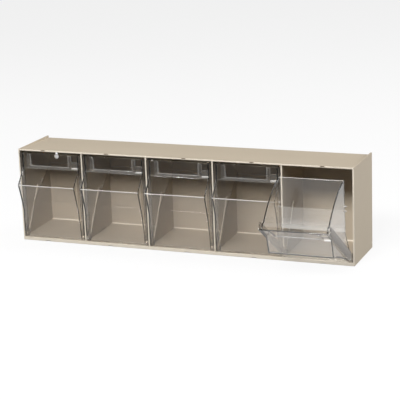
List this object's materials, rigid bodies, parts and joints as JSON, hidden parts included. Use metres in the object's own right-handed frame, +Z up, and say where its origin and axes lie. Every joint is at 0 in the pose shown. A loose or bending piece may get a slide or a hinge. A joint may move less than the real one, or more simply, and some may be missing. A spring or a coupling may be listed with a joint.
{
  "type": "tip-out bin unit",
  "caption": "Beige moulded cabinet with a row of clear plastic bins that tip forward on pins at their lower front edges, each with a card holder and a finger tab",
  "frame": {"origin": "middle of the cabinet's footprint, on the plane it stands on", "axes": "X along the row of bins to the right, Y from the front to the back, Z up"},
  "size_m": [0.6, 0.2323, 0.163],
  "materials": {
    "cabinet": "satin",
    "clear_bin": "gloss"
  },
  "bodies": {
    "cabinet": {"housing_shell": "cabinet", "partition_1": "cabinet", "partition_2": "cabinet", "partition_3": "cabinet", "partition_4": "cabinet"},
    "bin_1": {"bin_1": "clear_bin"},
    "bin_2": {"bin_2": "clear_bin"},
    "bin_3": {"bin_3": "clear_bin"},
    "bin_4": {"bin_4": "clear_bin"},
    "bin_5": {"bin_5": "clear_bin"}
  },
  "joints": [
    {"name": "bin_1_tip", "type": "hinge", "parent": "cabinet", "child": "bin_1", "pos_m": [-0.239, -0.0514, 0.0097], "axis": [1, 0, 0], "range_deg": [0, 56.5]},
    {"name": "bin_2_tip", "type": "hinge", "parent": "cabinet", "child": "bin_2", "pos_m": [-0.1195, -0.0514, 0.0097], "axis": [1, 0, 0], "range_deg": [0, 56.5]},
    {"name": "bin_3_tip", "type": "hinge", "parent": "cabinet", "child": "bin_3", "pos_m": [0, -0.0514, 0.0097], "axis": [1, 0, 0], "range_deg": [0, 56.5]},
    {"name": "bin_4_tip", "type": "hinge", "parent": "cabinet", "child": "bin_4", "pos_m": [0.1195, -0.0514, 0.0097], "axis": [1, 0, 0], "range_deg": [0, 56.5]},
    {"name": "bin_5_tip", "type": "hinge", "parent": "cabinet", "child": "bin_5", "pos_m": [0.239, -0.0514, 0.0097], "axis": [1, 0, 0], "range_deg": [-56.5, 0]}
  ]
}
